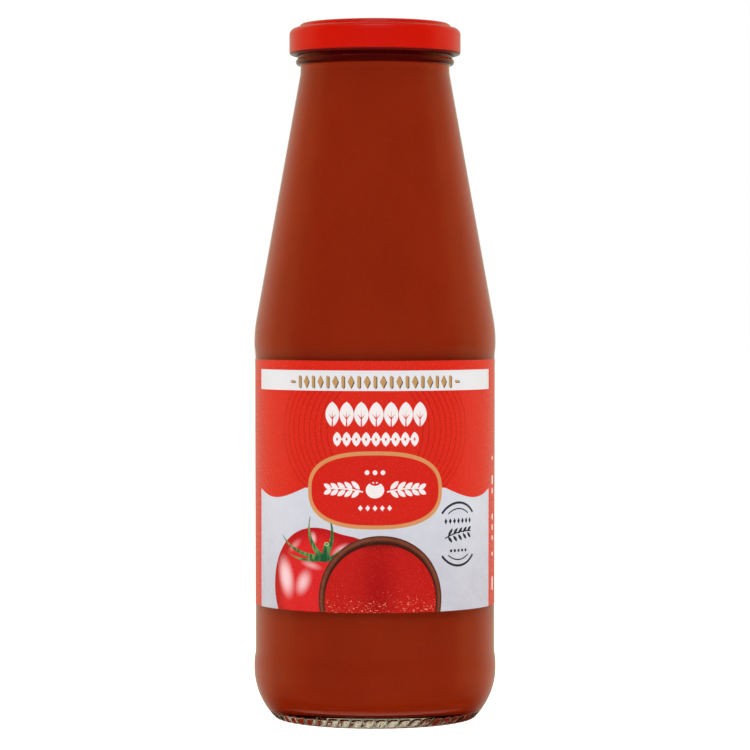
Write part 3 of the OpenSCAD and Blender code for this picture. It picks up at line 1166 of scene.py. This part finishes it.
# The room's light by how far a direction turns to the back, from -1 to 1
ROOM = (
    (-0.40, (0.012, 0.012, 0.010)),
    (-0.15, (0.08, 0.07, 0.03)),
    (0.05, (0.22, 0.19, 0.065)),
    (0.35, (0.27, 0.24, 0.11)),
    (0.62, (0.44, 0.41, 0.25)),
    (0.80, (0.52, 0.48, 0.36)),
)


def add_camera():
    data = bpy.data.cameras.new("camera")
    data.lens = CAMERA_LENS
    data.sensor_width = 36
    data.clip_start = 0.01
    camera = bpy.data.objects.new("camera", data)
    camera.location = (0, -CAMERA_FAR * MM, CAMERA_HEIGHT * MM)
    camera.rotation_euler = (math.radians(90 - CAMERA_DIP), 0, 0)
    bpy.context.scene.collection.objects.link(camera)
    bpy.context.scene.camera = camera


def add_box(name, place, size, watts, glossy=True):
    """A soft box at place, in metres, that faces the middle of the bottle."""
    data = bpy.data.lights.new(name, "AREA")
    data.shape = "RECTANGLE"
    data.size, data.size_y = size
    data.energy = watts
    lamp = bpy.data.objects.new(name, data)
    lamp.location = place
    aim = Vector((0, 0, BOTTLE_H / 2 * MM)) - Vector(place)
    lamp.rotation_euler = aim.to_track_quat("-Z", "Y").to_euler()
    lamp.visible_glossy = glossy
    lamp.visible_camera = False
    lamp.visible_transmission = False
    bpy.context.scene.collection.objects.link(lamp)
    return lamp


def add_lights(filling):
    add_box("top_box", (0, 0, 1.4), (1.4, 1.4), 8, glossy=False)
    add_box("top_strip", (0, -0.3, 1.4), (0.5, 0.4), 0.7)
    add_box("front_box", (0, -1.25, 1.15), (1.4, 1.0), 17, glossy=False)
    rim_lit = bpy.data.collections.new("rim_lit")
    rim_lit.objects.link(filling)
    for side, name in ((1, "right"), (-1, "left")):
        add_box(name + "_box", (side * 1.2, 0.42, 0.35), (0.7, 1.2), 10, glossy=False)
        rim = add_box(name + "_rim", (side * 0.23, 0.19, 0.09), (0.12, 0.12), 0.7, glossy=False)
        rim.light_linking.receiver_collection = rim_lit


def add_world():
    """White behind the bottle. Its gloss sees a dark room in front, a warm wall behind."""
    world = bpy.data.worlds.new("studio")
    bpy.context.scene.world = world
    world.use_nodes = True
    nodes, links = world.node_tree.nodes, world.node_tree.links
    split = nodes.new("ShaderNodeSeparateXYZ")
    links.new(nodes.new("ShaderNodeTexCoord").outputs["Generated"], split.inputs[0])
    wall = nodes.new("ShaderNodeValToRGB")
    ramp = wall.color_ramp.elements
    while len(ramp) < len(ROOM):
        ramp.new(0.5)
    for element, (place, colour) in zip(ramp, ROOM):
        element.position = (place + 1) / 2
        element.color = colour + (1,)
    across = nodes.new("ShaderNodeMapRange")
    across.inputs["From Min"].default_value = -1
    links.new(split.outputs["Y"], across.inputs["Value"])
    links.new(across.outputs["Result"], wall.inputs[0])
    down = nodes.new("ShaderNodeMapRange")
    down.interpolation_type = "SMOOTHSTEP"
    up = nodes.new("ShaderNodeMapRange")
    up.interpolation_type = "SMOOTHSTEP"
    for node, span in ((down, (-0.6, -0.15, 0.0, 1.0)), (up, (0.45, 0.85, 1.0, 0.15))):
        for socket, value in zip(node.inputs[1:], span):
            socket.default_value = value
        links.new(split.outputs["Z"], node.inputs["Value"])
    level = nodes.new("ShaderNodeMath")
    level.operation = "MULTIPLY"
    links.new(down.outputs["Result"], level.inputs[0])
    links.new(up.outputs["Result"], level.inputs[1])
    dim = nodes.new("ShaderNodeBackground")
    links.new(wall.outputs["Color"], dim.inputs["Color"])
    links.new(level.outputs[0], dim.inputs["Strength"])
    white = nodes["Background"]
    white.inputs["Color"].default_value = (1, 1, 1, 1)
    path = nodes.new("ShaderNodeLightPath")
    seen = nodes.new("ShaderNodeMath")
    seen.operation = "MAXIMUM"
    links.new(path.outputs["Is Camera Ray"], seen.inputs[0])
    links.new(path.outputs["Is Transmission Ray"], seen.inputs[1])
    both = nodes.new("ShaderNodeMixShader")
    links.new(seen.outputs[0], both.inputs[0])
    links.new(dim.outputs[0], both.inputs[1])
    links.new(white.outputs[0], both.inputs[2])
    links.new(both.outputs[0], nodes["World Output"].inputs["Surface"])


def add_floor():
    """A plain white floor that runs into the white behind. Its gloss isn't seen in glass."""
    size = 6
    mesh = bpy.data.meshes.new("floor")
    mesh.from_pydata([(-size, -size, 0), (size, -size, 0), (size, size, 0), (-size, size, 0)],
                     [], [(0, 1, 2, 3)])
    shader = Shader("floor", 0.9, glow=(1, 1, 1, 1))
    shader.colour(shader.mix(shader.noise(400), (0.90, 0.90, 0.90, 1), (0.92, 0.92, 0.92, 1)))
    place = shader.nodes.new("ShaderNodeTexCoord").outputs["Object"]
    far = shader.nodes.new("ShaderNodeVectorMath")
    far.operation = "LENGTH"
    shader.links.new(place, far.inputs[0])
    seen = shader.remap(far.outputs["Value"], 0.08, 0.5, 0.75 - FLOOR_GLOW, 1.0 - FLOOR_GLOW)
    path = shader.nodes.new("ShaderNodeLightPath")
    glow = shader.maths("MULTIPLY_ADD", seen, path.outputs["Is Camera Ray"], FLOOR_GLOW)
    shader.links.new(glow, shader.base.inputs["Emission Strength"])
    floor = add_object("floor", mesh, [shader.material])
    floor.visible_glossy = False


# ================================================================ the scene
def show(piece, node):
    """Puts a piece in the place of a CAD node."""
    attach(piece, "root")
    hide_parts(node)


add_camera()
add_world()
add_floor()

show(lathe("glass_bottle", glass_path(), glass_turns(), glass_material(), glass_relief),
     "bottle")

inside = [p for p in moved(inside_path(), FILLING_REACH) if p[1] < filling_high.z]
surface_r = inside[-1][0]
filling_path = inside + [(surface_r, filling_high.z, 0), (0, filling_high.z, 90)]
filling = lathe("tomato_filling", filling_path, even_turns(192), passata_material())
show(filling, "passata")
add_lights(filling)

show(label_mesh("paper_label"), "label")

show(lathe("steel_lid", lid_path(), even_turns(240), lid_material(), lid_relief),
     "lid")

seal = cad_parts["lid_seal"]
seal.data.materials.clear()
seal.data.materials.append(seal_material())

view = bpy.context.scene.view_settings
view.view_transform = "Standard"
view.look = "None"
